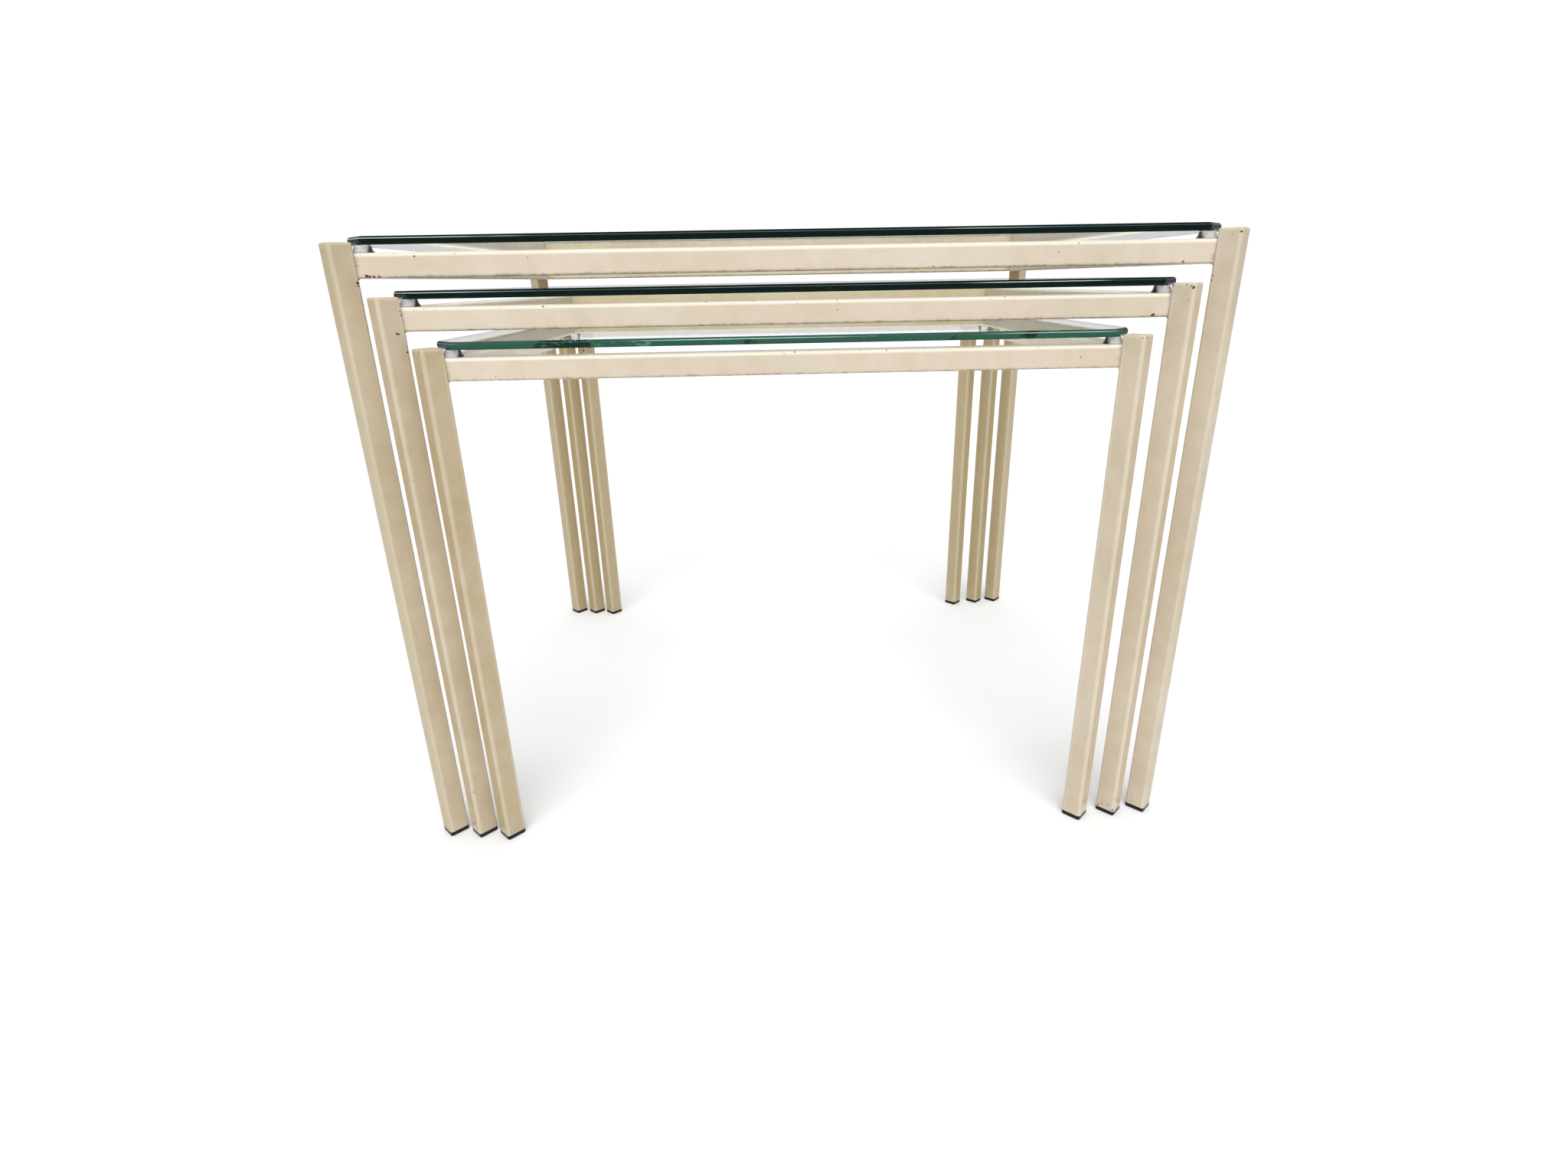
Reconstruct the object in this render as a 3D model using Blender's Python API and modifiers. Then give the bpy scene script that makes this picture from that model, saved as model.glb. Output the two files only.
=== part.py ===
"""A nest of three side tables: welded square-tube steel frames under loose glass tops.

Run it with: blender --background --python part.py
Metres, +Z up. The nest stands on z = 0 with its origin below the middle of its outer box.
The front, where the smaller tables are drawn out, faces -Y.

Each table is the same kit at its own size: four legs turned 45 degrees in plan, a ring of
four rails welded between them, four glides, four clear pads and a glass top.
"""

import math

import bmesh
import bpy
from mathutils import Matrix

# The tube that every frame is made of, in metres like everything below.
TUBE = 0.015
TUBE_WALL = 0.0012
TUBE_CORNER = 0.0016
CORNER_SEGMENTS = 3
GAP = 0.0003  # kept between pieces that touch or are welded together

# The three tables, largest first: leg spacing from left to right, height of the leg tops, and
# where the table stands in the nest as (to the right, to the back) of the large one.
TABLES = {
    "large": {"width": 0.560, "leg_top": 0.439, "place": (0.0, 0.0)},
    "medium": {"width": 0.510, "leg_top": 0.407, "place": (-0.001, -0.003)},
    "small": {"width": 0.457, "leg_top": 0.376, "place": (-0.004, -0.007)},
}
DEPTH = 0.446  # leg spacing from front to back, the same on all three
RAIL_DROP = 0.006  # rail tops lie this far below the leg tops

GLIDE_FOOT = 0.0036
GLIDE_PLUG = 0.012
GLIDE_SLACK = 0.0001  # between the plug and the inside of the tube, as well as GAP
GLIDE_EDGE = 0.0006

GLASS = 0.005
GLASS_LIFT = 0.0045  # from the rail tops to the underside of the glass
GLASS_CLIP = 0.015  # length cut off each side at a corner
GLASS_ARRIS = 0.0005

PAD_BASE_RADIUS = 0.0065
PAD_TOP_RADIUS = 0.005
PAD_SIDES = 24
PAD_FROM_LEG = 0.0128  # along the rail, from the leg's centre

# The smaller tables stand forward of the large one, so its centre is behind the origin by half
# of the furthest that one reaches.
LARGE_CENTRE_Y = -min(table["place"][1] for table in TABLES.values()) / 2


def clear_scene():
    """Removes what the file holds before the nest is made."""
    for old in list(bpy.data.objects):
        bpy.data.objects.remove(old, do_unlink=True)


def new_collection(name):
    """A collection in the scene, emptied first if it is there already."""
    old = bpy.data.collections.get(name)
    if old:
        bpy.data.collections.remove(old)
    made = bpy.data.collections.new(name)
    bpy.context.scene.collection.children.link(made)
    return made


def material(name, colour, roughness, transmission=0.0, ior=1.5):
    """A plain Principled material."""
    made = bpy.data.materials.new(name)
    made.use_nodes = True
    made.diffuse_color = (*colour, 1.0)
    shader = made.node_tree.nodes["Principled BSDF"]
    shader.inputs["Base Color"].default_value = (*colour, 1.0)
    shader.inputs["Roughness"].default_value = roughness
    shader.inputs["Transmission Weight"].default_value = transmission
    shader.inputs["IOR"].default_value = ior
    return made


def mesh_object(name, bm, collection, surface=None):
    """Turns a bmesh into an object, its rounded faces smooth and its edges sharp."""
    mesh = bpy.data.meshes.new(name)
    bm.to_mesh(mesh)
    bm.free()
    mesh.shade_smooth()
    mesh.set_sharp_from_angle(angle=math.radians(40))
    made = bpy.data.objects.new(name, mesh)
    if surface:
        mesh.materials.append(surface)
    collection.objects.link(made)
    return made


def place(made, parent, location, turn=0.0):
    """Stands an object at a point of its table, turned about Z."""
    made.parent = parent
    made.location = location
    made.rotation_euler = (0.0, 0.0, turn)


def block(bm, width, depth, bottom, top):
    """An upright box centred on the Z axis."""
    size = Matrix.Diagonal((width, depth, top - bottom, 1.0))
    middle = Matrix.Translation((0.0, 0.0, (bottom + top) / 2))
    bmesh.ops.create_cube(bm, size=1.0, matrix=middle @ size)


def upright_edges(bm):
    """The edges of a box that run along Z."""
    return [edge for edge in bm.edges if abs(edge.verts[0].co.z - edge.verts[1].co.z) > TUBE / 10]


def round_edges(bm, edges, radius, segments):
    """Rounds the given edges."""
    bmesh.ops.bevel(
        bm,
        geom=edges,
        offset=radius,
        segments=segments,
        profile=0.5,
        affect="EDGES",
        clamp_overlap=True,
        material=-1,
    )


def face_towards(bm, direction):
    """The largest flat face that looks up (1) or down (-1)."""
    flat = [face for face in bm.faces if face.normal.z * direction > 0.99]
    return max(flat, key=lambda face: face.calc_area())


def tube(name, length, capped, collection, surface):
    """A square tube along Z from z = 0, open at the bottom and closed at the top if capped.

    It is the tube's outer skin, which Solidify thickens inwards.
    """
    bm = bmesh.new()
    block(bm, TUBE, TUBE, 0.0, length)
    round_edges(bm, upright_edges(bm), TUBE_CORNER, CORNER_SEGMENTS)
    bm.normal_update()
    open_ends = [face_towards(bm, -1)]
    if not capped:
        open_ends.append(face_towards(bm, 1))
    bmesh.ops.delete(bm, geom=open_ends, context="FACES_ONLY")
    made = mesh_object(name, bm, collection, surface)
    wall = made.modifiers.new("wall", "SOLIDIFY")
    wall.thickness = TUBE_WALL
    wall.offset = -1.0
    wall.use_even_offset = True
    wall.use_quality_normals = True
    return made


def outline_prism(name, points, bottom, top, collection, surface=None):
    """A flat outline made into an upright solid, from a filled 2D curve."""
    curve = bpy.data.curves.new(name, "CURVE")
    curve.dimensions = "2D"
    curve.fill_mode = "BOTH"
    curve.extrude = (top - bottom) / 2
    line = curve.splines.new("POLY")
    line.points.add(len(points) - 1)
    for point, (x, y) in zip(line.points, points):
        point.co = (x, y, 0.0, 1.0)
    line.use_cyclic_u = True
    drawn = bpy.data.objects.new(name, curve)
    bpy.context.scene.collection.objects.link(drawn)
    evaluated = drawn.evaluated_get(bpy.context.evaluated_depsgraph_get())
    mesh = bpy.data.meshes.new_from_object(evaluated)
    bpy.data.objects.remove(drawn)
    bpy.data.curves.remove(curve)
    bm = bmesh.new()
    bm.from_mesh(mesh)
    bpy.data.meshes.remove(mesh)
    bmesh.ops.remove_doubles(bm, verts=bm.verts, dist=GAP / 10)
    bmesh.ops.translate(bm, verts=bm.verts, vec=(0.0, 0.0, (bottom + top) / 2))
    bmesh.ops.recalc_face_normals(bm, faces=bm.faces)
    return mesh_object(name, bm, collection, surface)


def rail_outline(span):
    """Plan of a rail along X whose outer face is on y = 0, between leg centres span apart.

    Each end is a V: one side lies against the leg's inward face and the other meets the
    neighbouring rail in a mitre. The outline stands clear of the tube's two long faces.
    """
    clear = TUBE / 5
    leg_face = (TUBE / 2 + GAP) * math.sqrt(2)
    mitre = GAP / 2 * math.sqrt(2)
    left = [
        (leg_face + clear, -clear),
        ((leg_face + mitre) / 2, (leg_face - mitre) / 2),
        (TUBE + clear + mitre, TUBE + clear),
    ]
    left = [(x - span / 2, y) for x, y in left]
    right = [(-x, y) for x, y in reversed(left)]
    return left + right


def add_rail(name, span, parent, location, turn, sets, surface):
    """A rail: open tube kept where the plan outline covers it. Its outer face is at location."""
    plan = outline_prism(name + "_plan", rail_outline(span), -TUBE, TUBE, sets["cutters"])
    plan.hide_render = True
    plan.display_type = "WIRE"
    place(plan, parent, location, turn)

    made = tube(name, span, False, sets["parts"], surface)
    lie_down = Matrix.Translation((-span / 2, TUBE / 2, 0.0)) @ Matrix.Rotation(math.pi / 2, 4, "Y")
    made.data.transform(lie_down)
    place(made, parent, location, turn)
    ends = made.modifiers.new("ends", "BOOLEAN")
    ends.operation = "INTERSECT"
    ends.object = plan
    ends.solver = "EXACT"


def add_leg(name, top, parent, location, sets, surface):
    """A leg turned 45 degrees, open above its glide and capped at the top."""
    bottom = GLIDE_FOOT + GAP
    made = tube(name, top - bottom, True, sets["parts"], surface)
    place(made, parent, (*location, bottom), math.pi / 4)


def add_glide(name, parent, location, sets, surface):
    """A plastic foot under the leg with a plug that goes up inside the tube."""
    bm = bmesh.new()
    block(bm, TUBE, TUBE, 0.0, GLIDE_FOOT)
    round_edges(bm, upright_edges(bm), TUBE_CORNER, CORNER_SEGMENTS)
    bm.normal_update()
    top = face_towards(bm, 1)
    shoulder = TUBE_WALL + GAP + GLIDE_SLACK
    bmesh.ops.inset_region(bm, faces=[top], thickness=shoulder, use_even_offset=True)
    # The inset is as deep as the foot's corners are round, so the plug's corners are sharp.
    bmesh.ops.remove_doubles(bm, verts=top.verts, dist=GAP)
    top = face_towards(bm, 1)
    plug = bmesh.ops.extrude_face_region(bm, geom=[top])["geom"]
    bmesh.ops.delete(bm, geom=[top], context="FACES_ONLY")
    plug_top = [part for part in plug if isinstance(part, bmesh.types.BMVert)]
    bmesh.ops.translate(bm, verts=plug_top, vec=(0.0, 0.0, GLIDE_PLUG))
    bm.normal_update()
    sole = face_towards(bm, -1)
    round_edges(bm, list(sole.edges), GLIDE_EDGE, 2)
    made = mesh_object(name, bm, sets["parts"], surface)
    place(made, parent, (*location, 0.0), math.pi / 4)


def add_pad(name, parent, location, bottom, sets, surface):
    """A clear spacer on a rail, wider at its base than under the glass."""
    height = GLASS_LIFT - 2 * GAP
    bm = bmesh.new()
    bmesh.ops.create_cone(
        bm,
        cap_ends=True,
        segments=PAD_SIDES,
        radius1=PAD_BASE_RADIUS,
        radius2=PAD_TOP_RADIUS,
        depth=height,
    )
    made = mesh_object(name, bm, sets["parts"], surface)
    place(made, parent, (*location, bottom + GAP + height / 2))


def glass_outline(width):
    """The glass is as large as the ring of rails, with its corners clipped clear of the legs."""
    half_x, half_y = width / 2, DEPTH / 2
    corners = []
    for across, along in ((1, 1), (-1, 1), (-1, -1), (1, -1)):
        on_side = (across * half_x, along * (half_y - GLASS_CLIP))
        on_end = (across * (half_x - GLASS_CLIP), along * half_y)
        corners += [on_side, on_end] if across * along > 0 else [on_end, on_side]
    return corners


def add_glass(name, width, parent, bottom, sets, surface):
    """The glass top, its edges ground to a narrow arris."""
    made = outline_prism(name, glass_outline(width), bottom, bottom + GLASS, sets["parts"], surface)
    place(made, parent, (0.0, 0.0, 0.0))
    arris = made.modifiers.new("arris", "BEVEL")
    arris.width = GLASS_ARRIS
    arris.segments = 1
    arris.limit_method = "ANGLE"
    arris.angle_limit = math.radians(30)


def add_table(size_name, sizes, sets, surfaces):
    """One table of the nest, on an empty that stands on the floor at its middle."""
    half_x, half_y = sizes["width"] / 2, DEPTH / 2
    rail_top = sizes["leg_top"] - RAIL_DROP
    middle = bpy.data.objects.new(size_name + "_table", None)
    middle.location = (sizes["place"][0], LARGE_CENTRE_Y + sizes["place"][1], 0.0)
    sets["parts"].objects.link(middle)

    sides = {
        "front": (sizes["width"], (0.0, -half_y), 0.0),
        "right": (DEPTH, (half_x, 0.0), math.pi / 2),
        "back": (sizes["width"], (0.0, half_y), math.pi),
        "left": (DEPTH, (-half_x, 0.0), -math.pi / 2),
    }
    for side, (span, outer_face, turn) in sides.items():
        name = f"{size_name}_{side}_rail"
        location = (*outer_face, rail_top - TUBE / 2)
        add_rail(name, span, middle, location, turn, sets, surfaces["paint"])

    for end, y in (("front", -half_y), ("back", half_y)):
        for hand, x in (("left", -half_x), ("right", half_x)):
            corner = f"{end}_{hand}"
            add_leg(f"{size_name}_leg_{corner}", sizes["leg_top"], middle, (x, y), sets, surfaces["paint"])
            add_glide(f"{size_name}_glide_{corner}", middle, (x, y), sets, surfaces["glide"])
            pad_place = (
                x - math.copysign(PAD_FROM_LEG, x),
                y - math.copysign(TUBE / 2, y),
            )
            add_pad(f"{size_name}_pad_{corner}", middle, pad_place, rail_top, sets, surfaces["pad"])

    add_glass(
        size_name + "_glass_top",
        sizes["width"],
        middle,
        rail_top + GLASS_LIFT,
        sets,
        surfaces["glass"],
    )


def main():
    clear_scene()
    sets = {"parts": new_collection("nesting_tables"), "cutters": new_collection("cutters")}
    surfaces = {
        "paint": material("cream_paint", (0.70, 0.62, 0.48), 0.35),
        "glide": material("black_plastic", (0.012, 0.011, 0.012), 0.45),
        "pad": material("clear_plastic", (0.85, 0.88, 0.85), 0.15, transmission=0.9),
        "glass": material("clear_glass", (0.80, 0.92, 0.87), 0.02, transmission=1.0, ior=1.52),
    }
    for size_name, sizes in TABLES.items():
        add_table(size_name, sizes, sets, surfaces)


main()
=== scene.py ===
"""Nest of three side tables: painted square-tube frames on black glides, under glass tops.

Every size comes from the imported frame. Each operator builds one kind of piece for all three
tables; the panel in the 3D view's sidebar lists them, and main() runs them in order.
"""

import math
import random

import bmesh
import bpy
from mathutils import Matrix, Vector


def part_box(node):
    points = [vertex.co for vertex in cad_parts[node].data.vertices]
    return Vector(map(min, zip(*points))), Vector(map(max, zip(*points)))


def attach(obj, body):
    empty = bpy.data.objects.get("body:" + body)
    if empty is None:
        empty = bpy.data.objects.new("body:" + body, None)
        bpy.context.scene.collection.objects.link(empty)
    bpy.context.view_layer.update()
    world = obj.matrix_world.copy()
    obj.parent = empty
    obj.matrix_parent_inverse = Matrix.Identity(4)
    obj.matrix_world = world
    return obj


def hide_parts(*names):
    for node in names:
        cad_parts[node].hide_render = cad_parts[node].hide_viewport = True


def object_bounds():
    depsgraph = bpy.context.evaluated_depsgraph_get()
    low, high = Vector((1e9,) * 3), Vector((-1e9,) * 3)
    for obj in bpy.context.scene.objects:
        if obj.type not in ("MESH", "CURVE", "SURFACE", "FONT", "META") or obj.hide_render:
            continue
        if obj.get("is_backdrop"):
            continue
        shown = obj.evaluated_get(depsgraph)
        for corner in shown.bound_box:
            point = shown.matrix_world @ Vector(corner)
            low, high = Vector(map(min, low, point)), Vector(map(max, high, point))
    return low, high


bl_info = {
    "name": "Nest of Tables",
    "version": (1, 0, 0),
    "blender": (4, 5, 0),
    "location": "View3D > Sidebar > Nest",
    "description": "Builds a nest of three painted steel side tables with glass tops",
    "category": "Add Mesh",
}

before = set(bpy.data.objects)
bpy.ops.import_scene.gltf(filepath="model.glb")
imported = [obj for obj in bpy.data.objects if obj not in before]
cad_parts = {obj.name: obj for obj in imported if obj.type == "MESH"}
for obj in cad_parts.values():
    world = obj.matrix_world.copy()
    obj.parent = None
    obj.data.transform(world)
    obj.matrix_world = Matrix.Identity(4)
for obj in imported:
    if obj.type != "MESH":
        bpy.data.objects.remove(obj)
CAD_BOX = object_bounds()

TABLES = ("large", "medium", "small")
SIDES = ("front", "right", "back", "left")  # each is a quarter turn on from the last
CORNERS = ("front_left", "front_right", "back_left", "back_right")
MM = 0.001
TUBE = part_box("large_front_rail")[1].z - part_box("large_front_rail")[0].z
CAD_GAP = 0.3 * MM  # what the solids keep between touching pieces
TINY = 1e-6  # places closer than this are one place
SHARP_ANGLE = math.radians(42)  # faces that meet at more than this stay creased

# How far each leg's paint has yellowed, from 0 to 1, and how much further on its outer faces. The
# higher values on the back and left legs, and the extra on the large table's outer faces, are
# painted shade for faces that stand in less light.
LEG_AGES_AND_SHADE = {
    ("large", "front_left"): (0.52, 0.45),
    ("large", "front_right"): (0.32, 0.36),
    ("large", "back_left"): (0.90, 0.36),
    ("large", "back_right"): (0.90, 0.36),
    ("medium", "front_left"): (0.52, 0.07),
    ("medium", "front_right"): (0.32, 0.07),
    ("medium", "back_left"): (0.90, 0.07),
    ("medium", "back_right"): (0.90, 0.07),
    ("small", "front_left"): (0.72, 0.07),
    ("small", "front_right"): (0.32, 0.07),
    ("small", "back_left"): (0.90, 0.07),
    ("small", "back_right"): (0.90, 0.07),
}
# How far the paint of a rail has yellowed, raised on the back rail as painted shade under the
# glass, and how strongly its upper edges get the painted highlight and chips, weak on the shaded
# back rail.
RAIL_AGES_AND_SHADE = {"front": (0.16, 1.0), "right": (0.16, 1.0), "back": (0.63, 0.25), "left": (0.16, 1.0)}


# ---- sizes and finishes that a user would change ---------------------------------------------


class NestShape(bpy.types.PropertyGroup):
    """Fine shape of the pieces."""

    corner: bpy.props.FloatProperty(
        name="Tube Corner", description="Outside radius of the square tube's corners",
        default=0.0018, unit="LENGTH", precision=4)
    wall: bpy.props.FloatProperty(
        name="Tube Wall", description="Wall thickness of the tube",
        default=0.0012, unit="LENGTH", precision=4)
    cap_round: bpy.props.FloatProperty(
        name="Cap Rounding", description="Radius ground on the rim of the cap welded over a leg",
        default=0.0012, unit="LENGTH", precision=4)
    # The rounded edges' painted highlight and chips fade out over this width.
    rim: bpy.props.FloatProperty(
        name="Worn Rim", description="Width beside an edge over which its wear fades out",
        default=0.0011, unit="LENGTH", precision=4)
    joint_reach: bpy.props.FloatProperty(
        name="Joint Reach", description="Distance from a weld over which grime and rust fade out",
        default=0.009, unit="LENGTH", precision=4)
    splash: bpy.props.FloatProperty(
        name="Splash Height", description="Height above the floor to which the legs are scuffed",
        default=0.030, unit="LENGTH", precision=4)
    weld: bpy.props.FloatProperty(
        name="Weld Radius", description="Radius of the bead between leg and rails",
        default=0.0011, unit="LENGTH", precision=4)
    clip: bpy.props.FloatProperty(
        name="Glass Clip", description="Length cut off each side at the corners of the glass",
        default=0.015, unit="LENGTH", precision=4)
    arris: bpy.props.FloatProperty(
        name="Glass Arris", description="Width ground off the rims of the glass",
        default=0.0013, unit="LENGTH", precision=4)
    ground_line: bpy.props.FloatProperty(
        name="Ground Line", description="Matt line left between the arris and the polished edge",
        default=0.00026, unit="LENGTH", precision=5)
    sole_round: bpy.props.FloatProperty(
        name="Sole Rounding", description="Radius moulded around the sole of a glide",
        default=0.0006, unit="LENGTH", precision=4)


class NestFinish(bpy.types.PropertyGroup):
    """Colours and roughness of the materials."""

    paint: bpy.props.FloatVectorProperty(
        name="Paint", description="Cream paint where it is cleanest",
        default=(0.720, 0.625, 0.510), subtype="COLOR", size=3, min=0, max=1)
    # Also painted shade: mixed in further on the pieces and faces that stand in less light.
    paint_yellowed_and_shaded: bpy.props.FloatVectorProperty(
        name="Yellowed Paint", description="The same paint where it has yellowed",
        default=(0.440, 0.345, 0.190), subtype="COLOR", size=3, min=0, max=1)
    # Painted highlight: the rounded edges are mixed towards this pale colour, standing in for the
    # light they catch.
    painted_edge_highlight: bpy.props.FloatVectorProperty(
        name="Worn Edges", description="Paint rubbed pale on the rounded edges",
        default=(0.880, 0.815, 0.680), subtype="COLOR", size=3, min=0, max=1)
    # Also the colour of the painted shade along the rails' lower edges.
    grime: bpy.props.FloatVectorProperty(
        name="Grime", description="Dirt along the welds and above the glides",
        default=(0.170, 0.120, 0.070), subtype="COLOR", size=3, min=0, max=1)
    rust: bpy.props.FloatVectorProperty(
        name="Rust", description="Bare and rusted steel in the chips",
        default=(0.050, 0.026, 0.014), subtype="COLOR", size=3, min=0, max=1)
    paint_roughness: bpy.props.FloatProperty(
        name="Paint Roughness", description="Roughness of sound paint",
        default=0.34, min=0, max=1)
    glass: bpy.props.FloatVectorProperty(
        name="Glass", description="Tint of the glass seen through its faces",
        default=(0.945, 0.978, 0.965), subtype="COLOR", size=3, min=0, max=1)
    # Painted light: the two larger tops get this dark edge colour, standing in for how light
    # through the glass is seen at their edges.
    edge_painted_dark: bpy.props.FloatVectorProperty(
        name="Deep Glass Edge", description="Edge colour of the two larger tops",
        default=(0.0025, 0.0110, 0.0090), subtype="COLOR", size=3, min=0, max=1)
    # Painted light: the same glass gets this lighter edge colour on the smallest top, standing in
    # for how light through it is seen there.
    edge_painted_lit: bpy.props.FloatVectorProperty(
        name="Light Glass Edge", description="Edge colour of the smallest top",
        default=(0.026, 0.095, 0.062), subtype="COLOR", size=3, min=0, max=1)
    plastic: bpy.props.FloatVectorProperty(
        name="Glide Plastic", description="Black moulded plastic",
        default=(0.0060, 0.0050, 0.0055), subtype="COLOR", size=3, min=0, max=1)


# ---- materials -------------------------------------------------------------------------------


class Shader:
    """A material's node tree, with short calls to add nodes and join them."""

    def __init__(self, name):
        self.material = bpy.data.materials.new(name)
        self.material.use_nodes = True
        self.tree = self.material.node_tree
        self.surface = self.tree.nodes["Principled BSDF"]
        self.output = self.tree.nodes["Material Output"]

    def feed(self, socket, value):
        """Gives a socket its value, or a link where the value is another node's output."""
        if isinstance(value, bpy.types.NodeSocket):
            self.tree.links.new(value, socket)
        else:
            socket.default_value = value

    def set(self, node, **values):
        """Feeds sockets by name, underscores standing for spaces."""
        for name, value in values.items():
            self.feed(node.inputs[name.replace("_", " ")], value)
        return node

    def add(self, kind, settings=None, **values):
        """Adds a node, with its own settings and its sockets."""
        node = self.tree.nodes.new("ShaderNode" + kind)
        for name, value in (settings or {}).items():
            setattr(node, name, value)
        return self.set(node, **values)

    def math(self, operation, first, second=0.0, third=0.0, clamp=False):
        """One Math node's result."""
        node = self.add("Math", {"operation": operation, "use_clamp": clamp})
        for socket, value in zip(node.inputs, (first, second, third)):
            self.feed(socket, value)
        return node.outputs[0]

    def part(self, value, share):
        """A share of value."""
        return self.math("MULTIPLY", value, share)

    def spread(self, value, low, high, to_low=0.0, to_high=1.0):
        """value, stretched so that low to high becomes to_low to to_high."""
        node = self.add("MapRange", {"interpolation_type": "SMOOTHSTEP"}, Value=value)
        self.set(node, From_Min=low, From_Max=high, To_Min=to_low, To_Max=to_high)
        return node.outputs["Result"]

    def mix(self, share, first, second):
        """Two colours mixed by share."""
        node = self.add("Mix", {"data_type": "RGBA"})
        self.feed(node.inputs[0], share)  # The node's colour sockets are its seventh and eighth.
        self.feed(node.inputs[6], first)
        self.feed(node.inputs[7], second)
        return node.outputs[2]

    def place(self, scale=(1, 1, 1), location=(0, 0, 0)):
        """Object coordinates through a Mapping node."""
        coordinates = self.add("TexCoord").outputs["Object"]
        mapping = self.add("Mapping", Vector=coordinates, Location=location, Scale=scale)
        return mapping.outputs["Vector"]

    def noise(self, scale, detail=2.0, roughness=0.5, place=None):
        """Noise in metres: scale is how many features fit in one."""
        place = place or self.place()
        node = self.add("TexNoise", Vector=place, Scale=scale, Detail=detail, Roughness=roughness)
        return node.outputs["Fac"]


def opaque(colour):
    """An RGB colour with alpha 1."""
    return (*colour, 1.0)


def paint_material(finish):
    """Cream enamel that has yellowed in patches, with chips, specks, grime and rust.

    The mesh's colour attribute says where: red at rounded edges, for their painted highlight and
    chips; green near welds for grime, and along the rails' lower edges for painted shade; blue
    above the floor. Its alpha is how far the whole piece has yellowed, raised as painted shade on
    pieces in less light.
    """
    s = Shader("cream_paint")
    attribute = s.add("Attribute", {"attribute_name": "wear_and_painted_light"})
    wear_and_painted_light = s.add("SeparateColor", Color=attribute.outputs["Color"]).outputs
    # Green holds grime near the welds and painted shade along the rails' lower edges.
    edge, joint, splash = wear_and_painted_light["Red"], wear_and_painted_light["Green"], wear_and_painted_light["Blue"]
    piece_age_and_shade = attribute.outputs["Alpha"]

    # Yellowing and painted shade: the piece's age value, raised on pieces in less light, and soft
    # patches; less on the rounded edges, as part of their painted highlight, and where feet have
    # scuffed.
    patches = s.spread(s.noise(11, 4, 0.6), 0.30, 0.70)
    clouds = s.spread(s.noise(75, 3, 0.6), 0.35, 0.70)
    yellowing_and_shade = s.math("ADD", piece_age_and_shade, s.part(patches, 0.20))
    yellowing_and_shade = s.math("ADD", yellowing_and_shade, s.part(clouds, 0.12))
    highlight_and_scuff_lightening = s.math("ADD", s.part(edge, 0.15), s.part(splash, 0.12))
    yellowing_and_shade = s.math("SUBTRACT", yellowing_and_shade, highlight_and_scuff_lightening, clamp=True)
    colour = s.mix(yellowing_and_shade, opaque(finish.paint), opaque(finish.paint_yellowed_and_shaded))
    # Painted highlight: the rounded edges are mixed pale, standing in for the light they catch.
    colour = s.mix(s.part(edge, 0.65), colour, opaque(finish.painted_edge_highlight))

    # Grime and painted shade: smudges that show where something has settled, and painted shade
    # along the rails' lower edges.
    smudges = s.spread(s.noise(240, 4, 0.65), 0.40, 0.72)
    grime_and_shade_here = s.math("MAXIMUM", joint, s.part(splash, 0.30))
    grime_and_shade = s.math("ADD", grime_and_shade_here, s.part(smudges, 0.40))
    grime_and_shade = s.spread(grime_and_shade, 0.42, 1.35, 0.0, 0.85)
    colour = s.mix(grime_and_shade, colour, opaque(finish.grime))

    # Bare steel: fine flakes, more of them at edges and feet, and a few round specks.
    flakes = s.noise(520, 3, 0.55)
    flakes = s.math("ADD", flakes, s.part(edge, 0.085))
    flakes = s.math("ADD", flakes, s.part(splash, 0.045))
    flaking = s.part(s.spread(s.noise(23, 2, 0.5), 0.42, 0.68), 0.060)
    chips = s.spread(s.math("ADD", flakes, flaking), 0.800, 0.815)
    cells = s.add("TexVoronoi", Vector=s.place(location=(0.3, 0.7, 0.1)), Scale=46.0)
    chosen = s.add("SeparateColor", Color=cells.outputs["Color"]).outputs["Red"]
    specks = s.spread(cells.outputs["Distance"], 0.030, 0.018)
    specks = s.math("MULTIPLY", specks, s.math("GREATER_THAN", chosen, 0.88))
    bare = s.math("MAXIMUM", chips, specks, clamp=True)
    colour = s.mix(s.part(bare, 0.85), colour, opaque(finish.rust))

    dull = s.math("MULTIPLY_ADD", clouds, 0.08, finish.paint_roughness)
    dull = s.math("MULTIPLY_ADD", bare, 0.35, dull, clamp=True)

    # Relief: the brushed coat's peel and long runs, with the bare spots sunk in it.
    peel = s.part(s.noise(620, 1, 0.4), 0.30)
    runs = s.part(s.noise(48, 2, 0.5, s.place(scale=(1, 1, 0.5))), 1.4)
    relief = s.math("SUBTRACT", s.math("ADD", peel, runs), s.part(bare, 0.9))
    bump = s.add("Bump", Height=relief, Strength=0.35, Distance=0.25 * MM)
    s.set(s.surface, Base_Color=colour, Roughness=dull, Normal=bump.outputs["Normal"])
    s.set(s.surface, IOR=1.5, Coat_Weight=0.25, Coat_Roughness=0.22)
    return s.material


def rust_material(finish):
    """Bare steel in a chip: dark oxide with a brown bloom."""
    s = Shader("rusted_chip")
    bloom = s.spread(s.noise(900, 4, 0.7), 0.40, 0.75)
    brown = tuple(min(1.0, part * 3.0) for part in finish.rust)
    colour = s.mix(bloom, opaque(finish.rust), opaque(brown))
    bump = s.add("Bump", Height=s.noise(1800, 3, 0.6), Strength=0.5, Distance=0.1 * MM)
    s.set(s.surface, Base_Color=colour, Roughness=0.8, Normal=bump.outputs["Normal"])
    return s.material


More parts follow.
